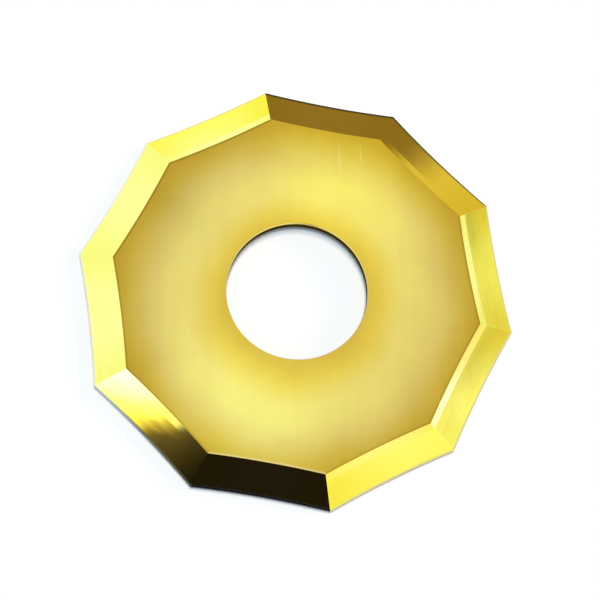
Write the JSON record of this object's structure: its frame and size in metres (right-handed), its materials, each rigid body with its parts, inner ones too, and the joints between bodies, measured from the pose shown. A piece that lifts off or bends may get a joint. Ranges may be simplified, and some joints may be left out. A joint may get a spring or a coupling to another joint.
{
  "type": "decagonal rotary blade",
  "caption": "Thin gold-coated decagonal rotary blade with a plain bore and hollow-ground sides that meet in piercing tips.",
  "frame": {"origin": "on the bore's axis, in the plane of the flat back and of the cutting edge", "axes": "+Z along the bore's axis out of the bevelled upper face, +Y through one tip"},
  "size_m": [0.0238, 0.025, 0.0006],
  "materials": {
    "gold_coated_steel": "gold titanium nitride over tool steel, satin on the flat faces and mirror-ground on the bevels"
  },
  "bodies": {
    "root": {"blade": "gold_coated_steel"}
  },
  "joints": []
}
